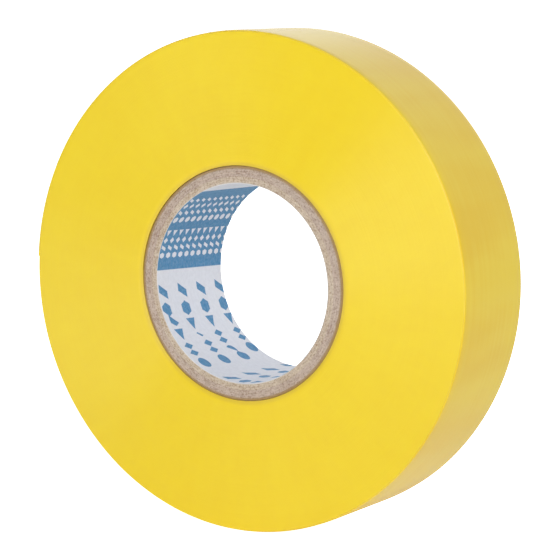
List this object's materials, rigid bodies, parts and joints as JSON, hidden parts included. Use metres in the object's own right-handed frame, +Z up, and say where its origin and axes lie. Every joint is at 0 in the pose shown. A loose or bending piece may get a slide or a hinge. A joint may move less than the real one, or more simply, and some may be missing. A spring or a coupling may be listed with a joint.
{
  "type": "electrical tape roll",
  "caption": "Roll of vinyl insulating tape wound on a spiral paperboard core with a printed liner; the tape's free end peels off the rim.",
  "frame": {"origin": "centre of the bore, midway between the two faces", "axes": "+Y along the roll's axis towards the back face, +Z up with the roll standing on its rim, +X to the right seen from the front face at -Y"},
  "size_m": [0.0786, 0.019, 0.0785],
  "materials": {
    "vinyl_film": "semi-gloss yellow plasticised vinyl",
    "adhesive": "clear tacky rubber-resin coat",
    "outer_board": "raw grey-brown core board, cut edge",
    "inner_board": "raw tan core board, cut edge",
    "liner_paper": null
  },
  "bodies": {
    "roll": {"liner_paper": "liner_paper", "inner_ply_1": "inner_board", "inner_ply_2": "inner_board", "outer_ply_1": "outer_board", "outer_ply_2": "outer_board", "outer_ply_3": "outer_board", "outer_ply_4": "outer_board", "wound_tape": "vinyl_film", "outer_lap_adhesive": "adhesive", "outer_lap_film": "vinyl_film"},
    "free_end_1": {"end_adhesive_1": "adhesive", "end_film_1": "vinyl_film"},
    "free_end_2": {"end_adhesive_2": "adhesive", "end_film_2": "vinyl_film"},
    "free_end_3": {"end_adhesive_3": "adhesive", "end_film_3": "vinyl_film"},
    "free_end_4": {"end_adhesive_4": "adhesive", "end_film_4": "vinyl_film"},
    "free_end_5": {"end_adhesive_5": "adhesive", "end_film_5": "vinyl_film"},
    "free_end_6": {"end_adhesive_6": "adhesive", "end_film_6": "vinyl_film"},
    "free_end_7": {"end_adhesive_7": "adhesive", "end_film_7": "vinyl_film"},
    "free_end_8": {"end_adhesive_8": "adhesive", "end_film_8": "vinyl_film"},
    "free_end_9": {"end_adhesive_9": "adhesive", "end_film_9": "vinyl_film"},
    "free_end_10": {"end_adhesive_10": "adhesive", "end_film_10": "vinyl_film"},
    "free_end_11": {"end_adhesive_11": "adhesive", "end_film_11": "vinyl_film"},
    "free_end_12": {"end_adhesive_12": "adhesive", "end_film_12": "vinyl_film"}
  },
  "joints": [
    {"name": "peel_1", "type": "hinge", "parent": "roll", "child": "free_end_1", "pos_m": [-0.01023, 0, 0.038], "axis": [0, 1, 0], "range_deg": [0, 12.5]},
    {"name": "peel_2", "type": "hinge", "parent": "free_end_1", "child": "free_end_2", "pos_m": [-0.01415, 0, 0.03673], "axis": [0, 1, 0], "range_deg": [0, 12.5]},
    {"name": "peel_3", "type": "hinge", "parent": "free_end_2", "child": "free_end_3", "pos_m": [-0.01791, 0, 0.03505], "axis": [0, 1, 0], "range_deg": [0, 12.5]},
    {"name": "peel_4", "type": "hinge", "parent": "free_end_3", "child": "free_end_4", "pos_m": [-0.02147, 0, 0.03299], "axis": [0, 1, 0], "range_deg": [0, 12.5]},
    {"name": "peel_5", "type": "hinge", "parent": "free_end_4", "child": "free_end_5", "pos_m": [-0.0248, 0, 0.03057], "axis": [0, 1, 0], "range_deg": [0, 12.5]},
    {"name": "peel_6", "type": "hinge", "parent": "free_end_5", "child": "free_end_6", "pos_m": [-0.02787, 0, 0.02782], "axis": [0, 1, 0], "range_deg": [0, 12.5]},
    {"name": "peel_7", "type": "hinge", "parent": "free_end_6", "child": "free_end_7", "pos_m": [-0.03062, 0, 0.02476], "axis": [0, 1, 0], "range_deg": [0, 12.5]},
    {"name": "peel_8", "type": "hinge", "parent": "free_end_7", "child": "free_end_8", "pos_m": [-0.03304, 0, 0.02143], "axis": [0, 1, 0], "range_deg": [0, 12.5]},
    {"name": "peel_9", "type": "hinge", "parent": "free_end_8", "child": "free_end_9", "pos_m": [-0.0351, 0, 0.01786], "axis": [0, 1, 0], "range_deg": [0, 12.5]},
    {"name": "peel_10", "type": "hinge", "parent": "free_end_9", "child": "free_end_10", "pos_m": [-0.03677, 0, 0.0141], "axis": [0, 1, 0], "range_deg": [0, 12.5]},
    {"name": "peel_11", "type": "hinge", "parent": "free_end_10", "child": "free_end_11", "pos_m": [-0.03805, 0, 0.01018], "axis": [0, 1, 0], "range_deg": [0, 12.5]},
    {"name": "peel_12", "type": "hinge", "parent": "free_end_11", "child": "free_end_12", "pos_m": [-0.0389, 0, 0.00615], "axis": [0, 1, 0], "range_deg": [0, 12.5]}
  ]
}
